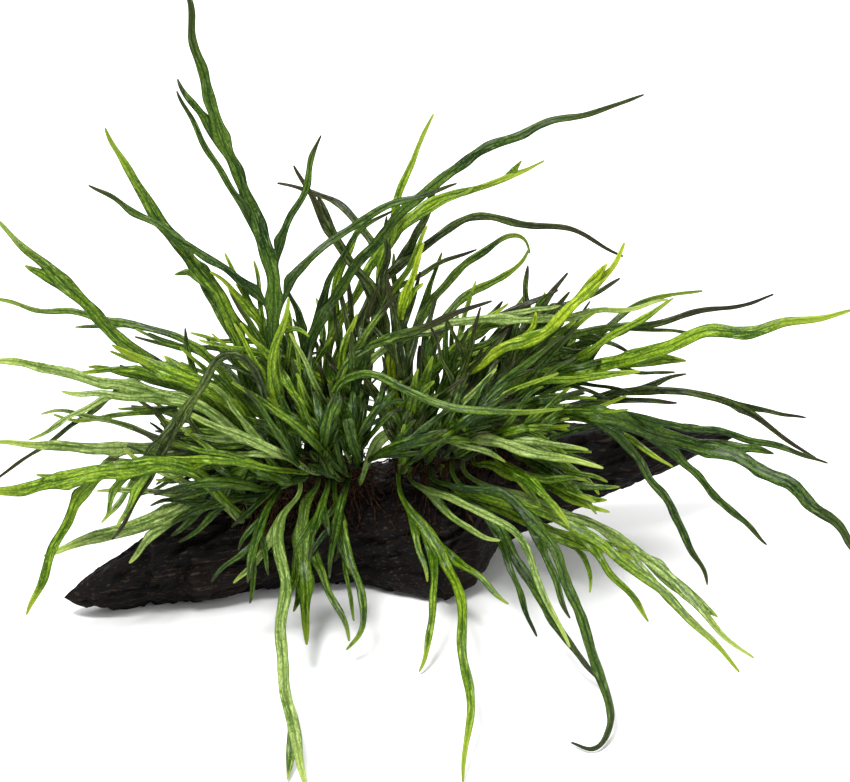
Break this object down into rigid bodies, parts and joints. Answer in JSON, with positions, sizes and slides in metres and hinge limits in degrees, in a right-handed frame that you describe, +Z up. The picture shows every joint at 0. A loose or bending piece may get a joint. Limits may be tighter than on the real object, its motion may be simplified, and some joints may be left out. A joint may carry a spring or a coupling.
{
  "type": "java fern on driftwood",
  "caption": "Aquarium fern with narrow, forked, leathery fronds growing from a creeping rhizome on a dark spindle of driftwood.",
  "frame": {"origin": "middle of the flat underside of the driftwood, where it rests", "axes": "+Z up, +X along the wood towards its thin raised end, -Y towards the side that most fronds lean to"},
  "size_m": [0.2984, 0.2787, 0.2059],
  "materials": {
    "driftwood": "near-black waterlogged wood with a lengthwise grain",
    "rhizome": "brown scaly rhizome",
    "roots": "dark brown hairy roots",
    "frond_deep": "deep green glossy leathery blade",
    "frond_leaf": "mid green glossy leathery blade",
    "frond_bright": "bright green glossy leathery blade",
    "frond_pale": "pale green wet blade",
    "frond_lime": "yellow-green glossy blade",
    "frond_dark": "very dark green older blade",
    "frond_darktip": "green blade with a dark brown tip"
  },
  "bodies": {
    "root": {"driftwood": "driftwood", "rhizome_left": "rhizome", "rhizome_right": "rhizome", "rhizome_spur": "rhizome", "root_01": "roots", "root_02": "roots", "root_03": "roots", "frond_01_tall_trident": "frond_deep", "frond_02_broad_left": "frond_leaf", "frond_03_hooked_left": "frond_bright", "frond_04_far_up_left": "frond_leaf", "frond_05_golden_left": "frond_bright", "frond_06_thin_left": "frond_leaf", "frond_07_dark_straw": "frond_deep", "frond_08_pale_left": "frond_pale", "frond_09_arching_left": "frond_dark", "frond_10_low_thin_left": "frond_bright", "frond_11_dark_thin_left": "frond_dark", "frond_12_white_left": "frond_pale", "frond_13_main_left": "frond_bright", "frond_14_low_left": "frond_pale", "frond_15_crown_spear": "frond_bright", "frond_16_crown_small": "frond_leaf", "frond_17_crown_fork": "frond_bright", "frond_18_great_up": "frond_deep", "frond_19_forked_up": "frond_bright", "frond_20_arching_up": "frond_dark", "frond_21_dark_strap": "frond_dark", "frond_22_back_strap": "frond_dark", "frond_23_bright_spear": "frond_bright", "frond_24_lime_spear": "frond_lime", "frond_25_outer_loop": "frond_leaf", "frond_26_inner_loop": "frond_leaf", "frond_27_dark_tipped": "frond_darktip", "frond_28_ribbed": "frond_darktip", "frond_29_level": "frond_pale", "frond_30_lime_broad": "frond_lime", "frond_31_eyed": "frond_leaf", "frond_32_slim": "frond_darktip", "frond_33_long_right": "frond_bright", "frond_34_bowed": "frond_dark", "frond_35_over": "frond_leaf", "frond_36_straight": "frond_bright", "frond_37_great_right": "frond_deep", "frond_38_white_right": "frond_pale", "frond_39_low_short": "frond_bright", "frond_40_low_long": "frond_pale", "frond_41_low_twin": "frond_bright", "frond_42_low_broad": "frond_bright", "frond_43_front_hooked": "frond_deep", "frond_44_front_strap": "frond_deep", "frond_45_front_slip": "frond_pale", "frond_46_front_hand": "frond_bright", "frond_47_front_claw": "frond_leaf", "frond_48_front_tail": "frond_pale", "frond_49_front_slim": "frond_leaf", "frond_50_back_left": "frond_leaf", "frond_51_back_mid": "frond_deep", "frond_52_back_right": "frond_leaf"}
  },
  "joints": []
}
